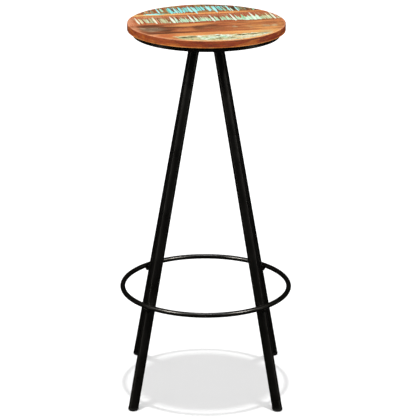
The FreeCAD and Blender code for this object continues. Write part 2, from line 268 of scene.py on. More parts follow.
FRONT_COAT = (
    (-28, -130, 18, 12, "mint", 0.8), (-20, -116, 12, 8, "pale_olive", 0.7),
    (-10, -126, 12, 10, "pale_mint", 0.8), (12, -124, 14, 12, "mint", 0.9),
    (14, -114, 16, 7, "pale_mint", 0.8), (64, -124, 26, 8, "cream", 0.8), (48, -132, 16, 8, "cream", 0.8),
    (88, -112, 20, 8, "pale_olive", 0.6), (2, -143, 44, 8, "pale_olive", 0.5),
    (-34, -113, 8, 10, "white_mint", 1.0), (22, -119, 10, 8, "white_mint", 1.0),
    (-48, -125, 4, 4, "cream", 1.0), (-68, -108, 12, 6, "pale_olive", 0.7),
)

# Strokes across the boards: place u, foot n, head n, width and shade. Bare ones have lost their paint.
MIDDLE_BACK_BARE = (
    (-119, 4, 50, 4.5, "russet"), (-89, 8, 54, 3.5, "chestnut"), (-50.5, 12, 56, 4.5, "brown"),
    (-11, 12, 64, 4, "chestnut"), (31, 8, 52, 4.5, "brown"), (74, 22, 52, 5, "sienna"),
    (-38, 30, 50, 2.5, "chestnut"), (11, 26, 46, 2.5, "brown"), (52, 24, 46, 3, "chestnut"),
    (-70, 10, 50, 3, "chestnut"), (115, 28, 50, 4.5, "sienna"), (-128, 2, 56, 2.6, "russet"),
    (-93.5, 2, 56, 2.4, "russet"), (-58, 20, 56, 2.6, "chestnut"), (-66, 4, 50, 2.2, "chestnut"),
    (-28.5, 16, 62, 2.4, "chestnut"), (-19.8, 12, 60, 2.6, "chestnut"), (21, 6, 56, 2.6, "chestnut"),
    (13.6, 10, 52, 2.2, "chestnut"), (63.2, 14, 62, 2.6, "russet"), (55.5, 14, 58, 2.2, "chestnut"),
    (104.6, 30, 62, 2.4, "chestnut"), (136, 4, 62, 2.6, "brown"), (143.3, 6, 64, 2.6, "russet"),
    (85, 26, 50, 2.4, "sienna"), (-109, 12, 50, 2.2, "chestnut"), (-101.5, 8, 50, 2.4, "chestnut"),
)
MIDDLE_BACK_PAINT = (
    (-115, 12, 46, 3, "pale_olive"), (-110.5, 12, 48, 2.6, "pale_mint"), (-105, 14, 46, 3, "pale_olive"),
    (-92, 10, 44, 3, "peach"), (-81, 10, 46, 2.5, "pale_olive"), (-74, 12, 44, 2.5, "pale_olive"),
    (-54.5, 18, 54, 4, "pale_mint"), (-43, 12, 48, 3.5, "mint"), (-34, 10, 46, 3.5, "mint"),
    (-15.5, 10, 54, 3.6, "pale_mint"), (-4, 8, 46, 4, "mint"), (5, 8, 40, 4, "pale_mint"),
    (24.5, 14, 46, 4.5, "mint"), (40, 12, 44, 3, "green_mint"), (48, 10, 42, 3, "mint"),
    (67, 8, 50, 4.5, "mint"), (80, 10, 50, 6, "green_mint"), (91, 8, 40, 5, "pale_mint"),
    (109, 6, 48, 6, "pale_mint"), (121, 10, 46, 3.5, "pale_olive"), (130, 18, 58, 3.5, "cream"),
    (145.5, 14, 58, 3.5, "peach"), (-125, 6, 52, 3.8, "cream"), (-131.5, 2, 60, 4.6, "white_cream"),
    (-97, 1, 60, 4.2, "white_cream"), (-62, 1, 60, 5.4, "white_mint"), (-24, 1, 68, 4.8, "white_mint"),
    (17.5, 1, 60, 4.2, "white_mint"), (59.5, 1, 66, 4.4, "white_mint"), (100, 1, 68, 5.6, "white_mint"),
    (139.8, 1, 68, 4.4, "white_cream"),
)
BACK_BARE = (
    (-84, 92, 128, 4, "chestnut"), (-72.5, 92, 130, 2.4, "brown"), (-16.5, 92, 138, 2.2, "olive"),
    (12, 96, 136, 2.4, "umber"), (-46.5, 92, 136, 3.6, "slate"), (-26, 104, 134, 2.6, "olive"),
    (-36, 100, 140, 2.6, "brown"), (-7.5, 84, 136, 2.6, "olive"), (2, 100, 146, 2.6, "brown"),
    (20, 96, 128, 3, "brown"), (33, 84, 136, 3.4, "olive"), (43.5, 84, 130, 3.4, "brown"),
    (54, 92, 136, 3, "chestnut"), (61.5, 96, 132, 3, "slate"), (75.5, 88, 124, 4, "dark_green"),
)
BACK_PAINT = (
    (-97, 92, 116, 3, "sage"), (-104, 94, 112, 2.4, "pale_olive"), (-90, 90, 124, 4, "sage"),
    (-69, 98, 134, 5.5, "mint"), (-31.5, 90, 136, 5, "cyan"), (-21, 88, 130, 4, "teal"),
    (7, 98, 142, 5, "teal"), (15, 98, 134, 5.5, "cyan"), (49, 92, 136, 5, "teal"),
    (57, 88, 118, 4.5, "green_mint"), (71, 82, 114, 4, "pale_mint"), (92, 92, 116, 3.5, "sage"),
    (87, 90, 118, 2.4, "green_mint"), (99, 90, 112, 2.6, "sage"), (114, 84, 108, 4, "green_mint"),
    (-56, 90, 130, 4, "teal"), (-77, 88, 134, 4.6, "pale_cyan"), (-51.5, 84, 134, 5.6, "cyan"),
    (-41.5, 82, 134, 5, "pale_cyan"), (-11.5, 86, 140, 6, "pale_cyan"), (-3, 72, 134, 4.8, "pale_cyan"),
    (26.5, 90, 140, 6.4, "pale_cyan"), (38.5, 76, 134, 4.8, "pale_cyan"), (66, 86, 136, 5, "pale_cyan"),
    (82.5, 82, 128, 4.6, "pale_cyan"),
)

# Where the front board's paint has cracked open: place and half sizes.
FRONT_CRACKS = (
    ((-51, -117), (14, 8)), ((-68, -119), (13, 8)), ((44, -116), (14, 6)), ((66, -113), (18, 6)),
    ((90, -106), (16, 4)), ((-4, -136), (9, 5)), ((24, -133), (8, 4)), ((0, -113), (6, 4)),
)


def look_middle_back(u, n):
    """Mint paint cut through by saw marks."""
    wood = smears(plain(u, "sienna"), u, n, 110, MIDDLE_BACK_WOOD)
    fine = 0.6 * fibres(u, n, 11, 1.9) + 0.55 * teeth(u, n, 4.4, 17)

    level = 0.66 + 0.10 * between(u, -68, -61, 108, 114) + 0.4 * between(u, 68, 78, 107, 112)
    level = level + 0.16 * between(u, -124, -112, -26, -14) * step(16, 26, n)
    foot = 7 + 5 * step(-84, -94, u) - 3 * between(u, -92, -84, -40, -30) - 3 * between(u, 70, 80, 108, 116)
    foot = foot + 2.5 * between(u, 22, 36, 50, 58) + 1.8 * lattice_noise(u / 2.5, n * 0, 12)
    head = 40 + 7 * step(-70, -90, u) + 7 * lattice_noise(u / 7, n * 0, 13) + 4 * fine
    paint = step(foot - 2, foot + 1.5, n) * step(head + 5, head - 12, n) * step(-138, -128, u)
    paint = paint * np.clip(level + 0.62 * fine, 0, 1)

    wood = blend(wood, "ash", 0.75 * step(0.0, 0.6, fibres(u, n, 15, 1.8, 22)) * between(n, 30, 44, 58, 66))
    wood = blend(wood, "peach", 0.3 * between(n, 44, 52, 60, 66))
    wood = blend(wood, "russet", 0.5 * step(0.0, 0.9, -fine))
    wood = blend(wood, "peach", 0.3 * step(0.1, 0.9, fine))

    coat = blend(plain(u, "mint"), "pale_olive", step(14, 40, n + 8 * fine))
    coat = blend(coat, "pale_olive", 0.85 * step(-60, -72, u) + 0.85 * step(110, 118, u))
    coat = blend(coat, "ash", 0.4 * step(-66, -74, u) * step(-0.1, 0.5, fibres(u, n, 16, 2.6)))
    coat = blend(coat, "pale_mint", 0.45 * step(-0.1, 0.5, fine) * step(44, 26, n))
    coat = blend(coat, "pale_mint", 0.9 * between(u, 70, 80, 104, 112) * step(34, 22, n + 5 * fine))
    coat = blend(coat, "green_mint", 0.6 * step(0.25, 0.7, fibres(u, n, 14, 3.4)))

    paint, wood = bare_cuts(u, n, paint, wood, MIDDLE_BACK_BARE)
    return wood, *saw_cuts(u, n, paint, coat, MIDDLE_BACK_PAINT)


def look_back(u, n):
    """Cyan paint in strokes between a bright bare margin and a worn rim."""
    wood = smears(plain(u, "sienna"), u, n, 210, BACK_WOOD)
    fine = 0.6 * fibres(u, n, 21, 2.0) + 0.5 * teeth(u, n, 5.2, 29)

    margin = step(66, 69.5, n + 0.8 * fine) * step(83, 77, n + 2.5 * fine)
    wood = blend(wood, "amber", 0.95 * margin)
    pale = 0.65 * step(-10, -50, u) + 0.4 * step(0.0, 0.6, fibres(u, n, 26, 5))
    wood = blend(wood, "straw", margin * pale)
    wood = blend(wood, "russet", 0.7 * step(70.5, 67.5, n) * step(0.9, -0.2, fine))
    wood = blend(wood, "sienna", margin * 0.5 * step(60, 120, u))
    wood = blend(wood, "umber", 0.6 * step(0.15, 0.6, fibres(u, n, 25, 2.6, 22)) * step(86, 92, n))
    wood = blend(wood, "olive", 0.7 * step(0.0, 0.5, fibres(u, n, 28, 3.5, 40)) * step(78, 84, n))

    foot = 93 + 4 * lattice_noise(u / 9, n * 0, 22)
    foot = foot - 13 * between(u, -64, -54, -28, -20) + 8 * between(u, 0, 6, 26, 34)
    head = 128 + 5 * lattice_noise(u / 8, n * 0, 24) + 4 * fine
    paint = step(foot - 3, foot + 3, n) * step(head + 5, head - 8, n) * between(u, -62, -52, 64, 74)
    paint = paint * np.clip(0.5 + 0.65 * fine + 0.3 * between(u, -46, -34, 8, 24), 0, 1)
    coat = blend(plain(u, "teal"), "cyan", step(-0.2, 0.3, fine + 0.4 * step(70, 20, np.abs(u + 8))))

    fleck_u = u + 5 * fine
    fleck_n = n + 0.06 * (u + 90) + 1.6 * fibres(u, n, 27, 4.0)
    paint = np.maximum(paint, bump_at(fleck_u, fleck_n, (-90, 81), (31, 9)))
    coat = blend(coat, "pale_cyan", bump_at(fleck_u, fleck_n, (-94, 81.5), (24, 8)))

    paint, wood = bare_cuts(u, n, paint, wood, BACK_BARE)
    return wood, *saw_cuts(u, n, paint, coat, BACK_PAINT)


def look_middle_front(u, n):
    """Bare wood with dark figure and a few grey flecks of old dust."""
    wood = smears(plain(u, "sienna"), u, n, 310, MIDDLE_FRONT_WOOD)
    figure = streaks(u, n + 3 * lattice_noise(u / 35, n * 0, 38), 39, 1.6, 70)
    wood = blend(wood, "umber", 0.4 * step(0.15, 0.9, figure))
    wood = blend(wood, "amber", 0.35 * step(0.15, 0.9, -figure) * step(-90, 30, u))
    broad = streaks(u, n, 40, 4.5, 80)
    wood = blend(wood, "brown", 0.4 * step(0.2, 0.8, broad))
    wood = blend(wood, "amber", 0.35 * step(0.2, 0.8, -broad) * step(-90, -40, u))
    wood = smears(wood, u, n, 330, MIDDLE_FRONT_TINTS)

    left = 0.55 * bump_at(u, n, (-112, -44), (30, 22)) * step(-0.1, 0.6, streaks(u, n, 35, 2.5, 24))
    middle = 0.5 * bump_at(u, n, (46, -48), (16, 10)) * step(0.0, 0.6, streaks(u, n, 36, 2.0, 12))
    right = 0.42 * bump_at(u, n, (108, -54), (26, 14)) * step(0.0, 0.6, streaks(u, n, 37, 2.0, 12))
    dust = np.maximum(np.maximum(left, middle), right)
    return wood, dust, blend(plain(u, "ash"), "pale_olive", step(0, 60, u))


def look_front(u, n):
    """Pale green paint, cracked and flaking, below a bright bare margin."""
    wood = smears(plain(u, "amber"), u, n, 410, FRONT_WOOD)
    wood = blend(wood, "orange", 0.5 * step(0.1, 0.7, streaks(u, n, 46, 2.2, 50)) * step(60, 20, u))
    edge = -105.5 + 2.4 * rough_noise(u / 9, n * 0, 41) + 4 * step(40, 90, u)
    paint = step(edge + 1.5, edge - 2, n) * step(-92, -74, u + 0.5 * (n + 112))

    coat = smears(plain(u, "pale_olive"), u, n, 420, FRONT_COAT)
    coat = blend(coat, "sage", 0.75 * step(0.25, 0.75, rough_noise(u / 5, n / 4, 44)))
    coat = blend(coat, "cream", 0.6 * step(-116, -109, n))
    bright = step(0.1, 0.7, rough_noise(u / 6, n / 4.5, 47))
    coat = blend(coat, "white_mint", 0.8 * bright * step(-46, -38, u))

    cracked = np.zeros_like(u)
    for place, size in FRONT_CRACKS:
        cracked = np.maximum(cracked, bump_at(u, n, place, size))
    flakes = rough_noise(u / 3.2, n / 2.2, 43)
    paint = paint * (1 - cracked * step(-0.35, 0.15, flakes)) * (1 - 0.8 * step(0.75, 1.0, flakes))
    wood = blend(wood, "pitch", step(0.15, 0.6, cracked))
    coat = blend(coat, "sage", 0.8 * step(0.05, 0.5, cracked))
    return wood, paint, coat


def palest_front_highlight(u, n):
    """1 along the front of the rim, where the painted edge highlight and the worn wood are palest."""
    return step(-75, -100, n) * step(-90, -60, u)


def worn_rim_with_highlight(wood, paint, u, n):
    """Paint and grime worn off towards the rim, down to pale wood, with a painted highlight of the rounded
    edge in the same pale band.
    """
    inward = SEAT_RADIUS - np.hypot(u, n)
    paling = step(5.0, 2.6, inward + 1.5 * rough_noise(np.arctan2(n, u) * 14, inward / 9, 60))
    # Peach and straw: pale worn wood and a painted highlight along the rounded edge.
    wood = blend(wood, "peach", 0.5 * paling)
    wood = blend(wood, "straw", 0.35 * paling * palest_front_highlight(u, n))
    return wood, paint * (1 - 0.8 * paling)


def side_wood(u, n, z):
    """Wood of the rim and underside: darker, banded, with painted light paling the lower edge and a painted
    highlight, partly wear, where the top edge is rounded.
    """
    turn = np.arctan2(n, u)
    dark = 0.7 * step(-2.3, -1.6, turn) + 0.5 * rough_noise(turn * 7, z / 3.0, 70)
    wood = blend(plain(u, "rim"), "rim_dark", dark)
    wood = blend(wood, "umber", 0.45 * step(0.3, 1.0, rough_noise(turn * 18, z / 1.6, 73)))
    wood = blend(wood, "orange", 0.4 * step(0.2, 0.9, rough_noise(turn * 6, z / 5.0, 76)))
    # Painted light: the downward-facing lower edge is made paler where the lamps leave it in shade.
    lit_lower_edge = step(SEAT_BOTTOM + 2.4, SEAT_BOTTOM + 0.8, z)
    paling = 0.45 + 0.3 * step(-0.5, 0.5, rough_noise(turn * 10, z / 9, 79))
    wood = blend(wood, "amber", lit_lower_edge * paling)
    # Painted highlight, partly pale wear, along the rounded top edge.
    line = step(SEAT_TOP - 1.4, SEAT_TOP - 0.5, z + 0.5 * rough_noise(turn * 20, z * 0, 82))
    wood = blend(wood, "peach", 0.5 * line)
    return blend(wood, "straw", 0.3 * line * palest_front_highlight(u, n))


LOOKS = {"front": look_front, "middle_front": look_middle_front,
         "middle_back": look_middle_back, "back": look_back}


# ---------------------------------------------------------------- board meshes

ROW_STEP = {"front": math.radians(0.32), "middle_front": math.radians(0.24),
            "middle_back": math.radians(0.22), "back": math.radians(0.35)}
TOP_COLUMNS = 420
EDGE_ROUND = 2.6
EDGE_CELLS = 8
SIDE_CELLS = 20
UNDER_COLUMNS = 12
LOWER_CHAMFER = 0.8
JOINT_HALF_GAP = 0.12
JOINT_BEVEL = 0.7
JOINT_STRAIGHT = 12                     # rows turn from straight along a joint to radial over this width
UNDER_INSET = SEAT_RADIUS - PAN_RADIUS + 6

# How deep the wear goes, in millimetres.
HOLLOW_DEPTH = 0.22
SAW_MARK_DEPTH = 0.05
SAW_MARK_RATE = 2.1                     # radians for each millimetre along the boards
GRAIN_DEPTH = 0.05
PAINT_THICKNESS = 0.16
JOINT_EASE = 0.45
RIM_WAVE = 0.12
RIM_ROUGHNESS = 0.08
RIM_CHIPS = 0.9
RIM_WIDTH = 4                           # the rim's wear reaches this far in, and its chips this far down
HELD_BY_JOINT = 2.0                     # points this near a joint keep their place across the boards


def is_joint(place):
    """Whether a board's side this far across the seat is a joint, and not the rim."""
    return abs(place) < SEAT_RADIUS - 1


def extent(node, direction):
    """A node's lowest and highest reach along a direction, in millimetres."""
    reach = [v.co.dot(direction) / MM for v in NODES[node].data.vertices]
    return min(reach), max(reach)


def row_angles(name, low, high):
    """Angles whose sines space the rows from one side of a board to the other, evenly round the rim."""
    first = math.asin(max(low / SEAT_RADIUS, -1))
    last = math.asin(min(high / SEAT_RADIUS, 1))
    return np.linspace(first, last, int((last - first) / ROW_STEP[name]) + 2)


def rim_profile():
    """(inset from the rim, height) from the top surface round the edge, down the side and under."""
    turns = np.linspace(0, math.pi / 2, EDGE_CELLS + 1)[1:]
    over = [(EDGE_ROUND * (1 - math.sin(t)), SEAT_TOP - EDGE_ROUND * (1 - math.cos(t))) for t in turns]
    heights = np.linspace(SEAT_TOP - EDGE_ROUND, SEAT_BOTTOM + LOWER_CHAMFER, SIDE_CELLS + 1)[1:]
    down = [(0.0, z) for z in heights]
    under = [(LOWER_CHAMFER / 3, SEAT_BOTTOM + LOWER_CHAMFER / 4), (LOWER_CHAMFER, SEAT_BOTTOM)]
    return over + down + under + [(UNDER_INSET, SEAT_BOTTOM)]


def surface_colour(seen_colour):
    """Linear surface colour, with alpha, that looks like the given screen colour in this light."""
    share = np.clip(seen_colour, 0, 255) / 255
    linear = np.maximum(((share + 0.055) / 1.055) ** 2.4 - SHEEN, 0.002) / LIGHT_LEVEL * GRAIN_LOSS
    return np.concatenate([linear, np.ones(share.shape[:-1] + (1,))], axis=-1)


def relief(u, n, paint, low, high, seed):
    """How far the top lies below the flat: hollows, saw marks, open grain, lost paint and eased joints."""
    hollow = HOLLOW_DEPTH * (1 + rough_noise(u / 70, n / 22, seed))
    saw = SAW_MARK_DEPTH * (1 + np.sin(u * SAW_MARK_RATE + 2.5 * lattice_noise(u / 30, n / 60, seed + 3)))
    grain = GRAIN_DEPTH * (1 + rough_noise(u / 25, n / 0.9, seed + 4))
    drop = np.maximum(hollow, 0) + saw + np.maximum(grain, 0) + PAINT_THICKNESS * (1 - paint)
    for place, inward in ((low, n - low), (high, high - n)):
        if is_joint(place):
            drop = drop + JOINT_EASE * step(JOINT_BEVEL, 0.0, inward)
    return drop


def board_points(name, low, high):
    """Rows of points round the board's section, with the paint and wood values of each."""
    profile = rim_profile()
    joints = [place for place in (low, high) if is_joint(place)]
    rows = []
    for angle in row_angles(name, low, high):
        n_rim = SEAT_RADIUS * math.sin(angle)
        nearest = min(abs(n_rim - place) for place in joints)
        hold = max(0.0, 1 - nearest / JOINT_STRAIGHT)

        def across(radius):
            return (hold + (1 - hold) * radius / SEAT_RADIUS) * n_rim

        flat = SEAT_RADIUS - EDGE_ROUND
        n_top = across(flat)
        half = math.sqrt(max(flat ** 2 - n_top ** 2, 0))
        top = [(u, n_top, SEAT_TOP, 0.0) for u in np.linspace(-half, half, TOP_COLUMNS + 1)]
        right = []
        for inset, z in profile:
            radius = SEAT_RADIUS - inset
            n = across(radius)
            right.append((math.sqrt(max(radius ** 2 - n ** 2, 0)), n, z, 1.0))
        left = [(-u, n, z, side) for u, n, z, side in reversed(right)]
        end, n_under = right[-1][0], right[-1][1]
        under = [(u, n_under, SEAT_BOTTOM, 2.0) for u in np.linspace(end, -end, UNDER_COLUMNS + 1)[1:-1]]
        rows.append(top + right + under + left)
    return np.array(rows)


def uneven_rim(u, n, z, part, sides, seed):
    """The points with the rim waved, roughened and chipped, but held in line beside the board's joints."""
    turn = np.arctan2(n, u)
    wave = RIM_WAVE * (1 + lattice_noise(turn * 9, z * 0, seed + 7))
    rough = RIM_ROUGHNESS * (1 + rough_noise(turn * 60, z / 5, seed + 8))
    chips = RIM_CHIPS * step(0.45, 1.0, lattice_noise(turn * 22, z * 0, seed + 9))
    chips = chips * step(SEAT_TOP - RIM_WIDTH, SEAT_TOP, z)
    outer = step(SEAT_RADIUS - RIM_WIDTH, SEAT_RADIUS, np.hypot(u, n)) * (part < 2)
    shrink = 1 - (wave + rough + chips) * outer / SEAT_RADIUS
    from_side = np.minimum(np.abs(n - sides[0]), np.abs(sides[1] - n))
    held = (from_side < HELD_BY_JOINT) & (np.abs(n) < SEAT_RADIUS - 3)
    return u * shrink, np.where(held, n, n * shrink)


def set_attribute(mesh, name, value):
    """Keeps a number or a colour at each point for the shader."""
    kind, key = ("FLOAT_COLOR", "color") if value.ndim == 3 else ("FLOAT", "value")
    data = mesh.attributes.new(name, kind, "POINT").data
    data.foreach_set(key, value.ravel().astype(np.float32))


def board(name, seed):
    """One board with its own worn top, edge and underside, in place of the CAD board."""
    node = "seat_board_" + name
    low, high = extent(node, ACROSS)
    gap_low = low + (JOINT_HALF_GAP if is_joint(low) else 0)
    gap_high = high - (JOINT_HALF_GAP if is_joint(high) else 0)
    points = board_points(name, gap_low, gap_high)
    u, n, z, part = (points[..., k] for k in range(4))
    wood, paint, coat = LOOKS[name](u, n)
    wood, paint = worn_rim_with_highlight(wood, paint, u, n)
    inside = step(SEAT_TOP - EDGE_ROUND, SEAT_TOP - 0.2, z)
    on_top = inside * (part < 2)
    wood = np.where(on_top[..., None] > 0.5, wood, side_wood(u, n, z))
    paint = np.clip(paint, 0, 1) * on_top
    z = z - relief(u, n, paint, gap_low, gap_high, seed) * inside
    u, n = uneven_rim(u, n, z, part, (low, high), seed)

    rows, columns = u.shape
    x, y = u * ALONG.x + n * ACROSS.x, u * ALONG.y + n * ACROSS.y
    places = np.stack([x, y, z], axis=-1).reshape(-1, 3) * MM
    index = np.arange(rows * columns).reshape(rows, columns)
    a, b = index[:-1], index[1:]
    quads = np.stack([a, np.roll(a, -1, 1), np.roll(b, -1, 1), b], axis=-1).reshape(-1, 4)
    faces = quads.tolist() + [index[0, ::-1].tolist(), index[-1].tolist()]
    mesh = bpy.data.meshes.new("board_" + name)
    mesh.from_pydata(places.tolist(), [], faces)
    set_attribute(mesh, "wood", surface_colour(wood))
    set_attribute(mesh, "coat", surface_colour(coat))
    set_attribute(mesh, "paint", paint)
    piece = add_piece("board_" + name, mesh)
    clean(piece)
    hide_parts(node)
    return piece


# ---------------------------------------------------------------- helpers for pieces

def add_piece(name, mesh):
    """A smooth-shaded piece in the scene."""
    piece = bpy.data.objects.new(name, mesh)
    bpy.context.scene.collection.objects.link(piece)
    mesh.shade_smooth()
    return piece


def clean(piece, distance=1e-6):
    """Joins points that coincide and drops faces without area."""
    bm = bmesh.new()
    bm.from_mesh(piece.data)
    bmesh.ops.remove_doubles(bm, verts=bm.verts, dist=distance)
    bmesh.ops.dissolve_degenerate(bm, edges=bm.edges, dist=distance)
    bmesh.ops.recalc_face_normals(bm, faces=bm.faces)
    bm.to_mesh(piece.data)
    bm.free()


def finish_piece(piece, material):
    """Gives a piece its material and body."""
    piece.data.materials.clear()
    piece.data.materials.append(material)
    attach(piece, "root")


# ---------------------------------------------------------------- weld beads

WELD_CELL = 0.0004
RIPPLE_PITCH = 0.0013
RIPPLE_DEPTH = 0.00022
RIPPLE_SLANT = 0.3                      # round a leg, how far a ripple runs sideways for each unit up
RIPPLE_CURVE = 40.0                     # across a leg, how far it bends, in metres for each square metre up
RIPPLE_WANDER = 0.0004
WANDER_SPACING = 0.004


def weld_bead(node, round_leg):
    """A CAD weld with rounded edges and the ripples of its pool, round the leg or straight across it."""
    source = bpy.data.objects.new("source", NODES[node].data.copy())
    source.matrix_world = NODES[node].matrix_world
    bpy.context.scene.collection.objects.link(source)
    remesh = source.modifiers.new("rounded", "REMESH")
    remesh.mode, remesh.voxel_size = "VOXEL", WELD_CELL
    mesh = bpy.data.meshes.new_from_object(source.evaluated_get(bpy.context.evaluated_depsgraph_get()))
    mesh.transform(source.matrix_world)
    bpy.data.objects.remove(source)

    places, normals = np.empty(len(mesh.vertices) * 3), np.empty(len(mesh.vertices) * 3)
    mesh.vertices.foreach_get("co", places)
    mesh.vertices.foreach_get("normal", normals)
    places, normals = places.reshape(-1, 3), normals.reshape(-1, 3)
    low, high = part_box(node)
    middle = np.array((low + high) / 2)
    away = places - middle
    if round_leg:
        radius = (high.x - low.x) / 2
        run = np.arctan2(away[:, 1], away[:, 0]) * radius
        lag = RIPPLE_SLANT * away[:, 2]
    else:
        outward = middle[:2] / np.hypot(*middle[:2])
        run = away[:, 1] * outward[0] - away[:, 0] * outward[1]
        lag = RIPPLE_CURVE * away[:, 2] ** 2
    wander = RIPPLE_WANDER * lattice_noise(run / WANDER_SPACING, places[:, 2] / WANDER_SPACING, 90)
    depth = RIPPLE_DEPTH * np.abs(np.sin(math.pi * (run + lag + wander) / RIPPLE_PITCH)) ** 2
    mesh.vertices.foreach_set("co", (places - normals * depth[:, None]).ravel())
    piece = add_piece(node.replace("weld", "bead"), mesh)
    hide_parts(node)
    return piece


# ---------------------------------------------------------------- materials

def seen(red, green, blue):
    """Surface colour that looks like these screen values, from 0 to 255, in this light."""
    linear = (((c / 255 + 0.055) / 1.055) ** 2.4 for c in (red, green, blue))
    return tuple(c / LIGHT_LEVEL for c in linear) + (1.0,)


class Nodes:
    """Short forms for adding shader nodes to one material."""

    def __init__(self, name):
        self.material = bpy.data.materials.new(name)
        self.material.use_nodes = True
        self.tree = self.material.node_tree
        self.shader = self.tree.nodes["Principled BSDF"]

    def add(self, kind, inputs=None, **settings):
        node = self.tree.nodes.new(kind)
        for key, value in settings.items():
            setattr(node, key, value)
        for key, value in (inputs or {}).items():
            self.put(node.inputs[key], value)
        return node

    def put(self, socket, value):
        if isinstance(value, bpy.types.NodeSocket):
            self.tree.links.new(value, socket)
        else:
            socket.default_value = value

    def surface(self, name, value):
        self.put(self.shader.inputs[name], value)

    def position(self):
        return self.add("ShaderNodeNewGeometry").outputs["Position"]

    def math(self, operation, first, second=0.0, clamp=False):
        node = self.add("ShaderNodeMath", {0: first, 1: second}, operation=operation, use_clamp=clamp)
        return node.outputs[0]

    def mix(self, amount, first, second, blend="MIX"):
        node = self.add("ShaderNodeMix", data_type="RGBA", blend_type=blend)
        self.put(node.inputs[0], amount)
        self.put(node.inputs[6], first)
        self.put(node.inputs[7], second)
        return node.outputs[2]

    def value(self, name):
        return self.add("ShaderNodeAttribute", attribute_name=name).outputs["Fac"]

    def colour(self, name):
        return self.add("ShaderNodeAttribute", attribute_name=name).outputs["Color"]

    def stretched(self, vector, scale, shift=(0.0, 0.0, 0.0)):
        inputs = {"Vector": vector, "Location": shift, "Scale": scale}
        return self.add("ShaderNodeMapping", inputs).outputs["Vector"]

    def grey(self, value):
        return self.add("ShaderNodeCombineColor", {"Red": value, "Green": value, "Blue": value}).outputs[0]

    def noise(self, vector, scale, detail=4.0, roughness=0.55):
        inputs = {"Vector": vector, "Scale": scale, "Detail": detail, "Roughness": roughness}
        return self.add("ShaderNodeTexNoise", inputs).outputs["Fac"]

    def spread(self, value, low, high, to_low=0.0, to_high=1.0):
        inputs = {"Value": value, "From Min": low, "From Max": high, "To Min": to_low, "To Max": to_high}
        return self.add("ShaderNodeMapRange", inputs).outputs["Result"]

    def bump(self, height, strength, distance):
        inputs = {"Height": height, "Strength": strength, "Distance": distance}
        return self.add("ShaderNodeBump", inputs).outputs["Normal"]


def board_material(name):
    """Worn paint over grained hardwood, sealed with a satin finish."""
    m = Nodes("board_" + name)
    to_boards = {"Vector": m.position(), "Angle": -BOARD_ANGLE}
    turned = m.add("ShaderNodeVectorRotate", to_boards, rotation_type="Z_AXIS").outputs["Vector"]
    shift = (0.7 * BOARDS.index(name), 0.3 * BOARDS.index(name), 0.0)     # no two boards share a grain
    cross_way = m.stretched(turned, (900, 45, 45), shift)

    grain = m.noise(m.stretched(turned, (9, 260, 260), shift), 1.0, 5, 0.6)
    fibre = m.noise(m.stretched(turned, (40, 1500, 1500), shift), 1.0, 3, 0.5)
    pores = m.spread(m.noise(m.stretched(turned, (90, 1900, 1900), shift), 1.0, 2, 0.5), 0.60, 0.68)
    cross = m.noise(cross_way, 1.0, 3, 0.6)
    light = m.math("ADD", m.spread(grain, 0.3, 0.7, 0.78, 1.24), m.spread(fibre, 0.3, 0.7, -0.12, 0.12))
    light = m.math("MULTIPLY", light, m.spread(pores, 0.0, 1.0, 1.0, 0.62))
    wood = m.mix(1.0, m.colour("wood"), m.grey(light), "MULTIPLY")

    paint = m.value("paint")
    mottle = m.spread(m.noise(cross_way, 0.6, 4, 0.6), 0.3, 0.7, 0.86, 1.1)
    coat = m.mix(1.0, m.colour("coat"), m.grey(mottle), "MULTIPLY")
    ragged = m.math("ADD", paint, m.spread(cross, 0.3, 0.7, -0.2, 0.2))
    ragged = m.math("SUBTRACT", ragged, m.math("MULTIPLY", pores, 0.25))
    cover = m.math("MULTIPLY", m.spread(ragged, 0.28, 0.58), m.math("MULTIPLY", paint, 8.0, clamp=True))
    m.surface("Base Color", m.mix(cover, wood, coat))

    rough = m.spread(m.noise(turned, 60.0, 4, 0.6), 0.3, 0.7, 0.40, 0.54)
    rough = m.math("ADD", rough, m.math("MULTIPLY", pores, 0.2))
    m.surface("Roughness", m.math("ADD", rough, m.math("MULTIPLY", cover, 0.08)))
    m.surface("Specular IOR Level", 0.22)
    height = m.math("ADD", m.math("MULTIPLY", fibre, 0.4), m.math("MULTIPLY", cover, 0.6))
    height = m.math("SUBTRACT", height, m.math("MULTIPLY", pores, 0.5))
    m.surface("Normal", m.bump(height, 0.4, 0.0004))
    return m.material


def shade_of(colour, amount):
    """A darker or paler form of a colour."""
    return tuple(c * amount for c in colour[:3]) + (1,)


def black_coat(name, colour, roughness, peel_scale, peel_depth, specular=0.5):
    """Black finish with a fine uneven surface."""
    m = Nodes(name)
    position = m.position()
    broad = m.noise(position, 35.0, 3, 0.5)
    peel = m.noise(position, peel_scale, 2, 0.5)
    m.surface("Base Color", m.mix(m.spread(broad, 0.35, 0.65), colour, shade_of(colour, 1.5)))
    m.surface("Roughness", m.spread(broad, 0.3, 0.7, *roughness))
    m.surface("Specular IOR Level", specular)
    m.surface("Normal", m.bump(peel, 0.25, peel_depth))
    return m.material


def plated(name, colour, roughness):
    """Plated steel with faint mottling."""
    m = Nodes(name)
    mottle = m.noise(m.position(), 420.0, 4, 0.6)
    m.surface("Base Color", m.mix(m.spread(mottle, 0.3, 0.7), colour, shade_of(colour, 0.8)))
    m.surface("Metallic", 1.0)
    m.surface("Roughness", m.spread(mottle, 0.3, 0.7, *roughness))
    m.surface("Normal", m.bump(mottle, 0.1, 0.0001))
    return m.material


def dowel_material():
    """Plain beech."""
    m = Nodes("beech")
    grain = m.noise(m.stretched(m.position(), (500, 30, 500)), 1.0, 4, 0.6)
    m.surface("Base Color", m.mix(m.spread(grain, 0.3, 0.7), seen(196, 154, 108), seen(222, 186, 140)))
    m.surface("Roughness", m.spread(grain, 0.3, 0.7, 0.55, 0.7))
    m.surface("Normal", m.bump(grain, 0.2, 0.0002))
    return m.material


# ---------------------------------------------------------------- stage

